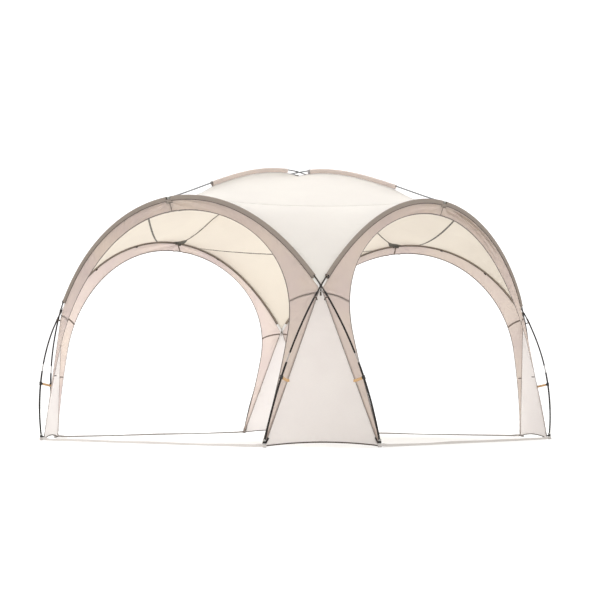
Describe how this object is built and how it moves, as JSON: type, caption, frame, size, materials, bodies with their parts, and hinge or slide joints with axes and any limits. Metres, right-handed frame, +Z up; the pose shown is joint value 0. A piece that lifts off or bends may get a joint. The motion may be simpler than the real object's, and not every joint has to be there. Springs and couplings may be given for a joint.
{
  "type": "beach tent",
  "caption": "Open dome-shaped beach tent on crossing arch poles, with an arched opening on each side, a cloth roof and cloth panels at the feet.",
  "frame": {"origin": "on the ground, at the middle of the square plan", "axes": "+Z up; the front opening faces -Y and the right-hand opening faces +X"},
  "size_m": [3.5294, 3.5294, 2.3321],
  "materials": {
    "roof_cloth": "matt coated woven polyester",
    "panel_cloth": "matt coated woven polyester",
    "border_cloth": "matt woven polyester, slightly see-through",
    "sleeve_cloth": "matt woven polyester",
    "fibreglass": "smooth grey fibreglass rod",
    "coated_steel": "black powder coat",
    "strap_webbing": "flat woven webbing",
    "tie_webbing": "flat woven webbing",
    "clip_plastic": "moulded plastic with an orange webbing tab"
  },
  "bodies": {
    "root": {"roof_quarter_front_right": "roof_cloth", "roof_quarter_back_right": "roof_cloth", "roof_quarter_back_left": "roof_cloth", "roof_quarter_front_left": "roof_cloth", "roof_corner_front_right": "roof_cloth", "roof_corner_back_right": "roof_cloth", "roof_corner_back_left": "roof_cloth", "roof_corner_front_left": "roof_cloth", "arch_border_front": "border_cloth", "arch_border_right": "border_cloth", "arch_border_back": "border_cloth", "arch_border_left": "border_cloth", "foot_panel_front_right": "panel_cloth", "foot_panel_back_right": "panel_cloth", "foot_panel_back_left": "panel_cloth", "foot_panel_front_left": "panel_cloth", "arch_pole_front": "fibreglass", "arch_pole_right": "fibreglass", "arch_pole_back": "fibreglass", "arch_pole_left": "fibreglass", "leg_pole_front_r": "coated_steel", "leg_pole_front_l": "coated_steel", "leg_pole_right_r": "coated_steel", "leg_pole_right_l": "coated_steel", "leg_pole_back_r": "coated_steel", "leg_pole_back_l": "coated_steel", "leg_pole_left_r": "coated_steel", "leg_pole_left_l": "coated_steel", "roof_pole_front_back": "fibreglass", "roof_pole_left_right": "fibreglass", "arch_sleeve_front_r": "sleeve_cloth", "arch_sleeve_front_l": "sleeve_cloth", "arch_sleeve_right_r": "sleeve_cloth", "arch_sleeve_right_l": "sleeve_cloth", "arch_sleeve_back_r": "sleeve_cloth", "arch_sleeve_back_l": "sleeve_cloth", "arch_sleeve_left_r": "sleeve_cloth", "arch_sleeve_left_l": "sleeve_cloth", "roof_sleeve_front": "sleeve_cloth", "roof_sleeve_right": "sleeve_cloth", "roof_sleeve_back": "sleeve_cloth", "roof_sleeve_left": "sleeve_cloth", "ground_strap_front": "strap_webbing", "ground_strap_right": "strap_webbing", "ground_strap_back": "strap_webbing", "ground_strap_left": "strap_webbing", "shoulder_tie_front_right": "tie_webbing", "shoulder_tie_back_right": "tie_webbing", "shoulder_tie_back_left": "tie_webbing", "shoulder_tie_front_left": "tie_webbing", "leg_clip_front_r": "clip_plastic", "leg_clip_front_l": "clip_plastic", "leg_clip_right_r": "clip_plastic", "leg_clip_right_l": "clip_plastic", "leg_clip_back_r": "clip_plastic", "leg_clip_back_l": "clip_plastic", "leg_clip_left_r": "clip_plastic", "leg_clip_left_l": "clip_plastic"}
  },
  "joints": []
}
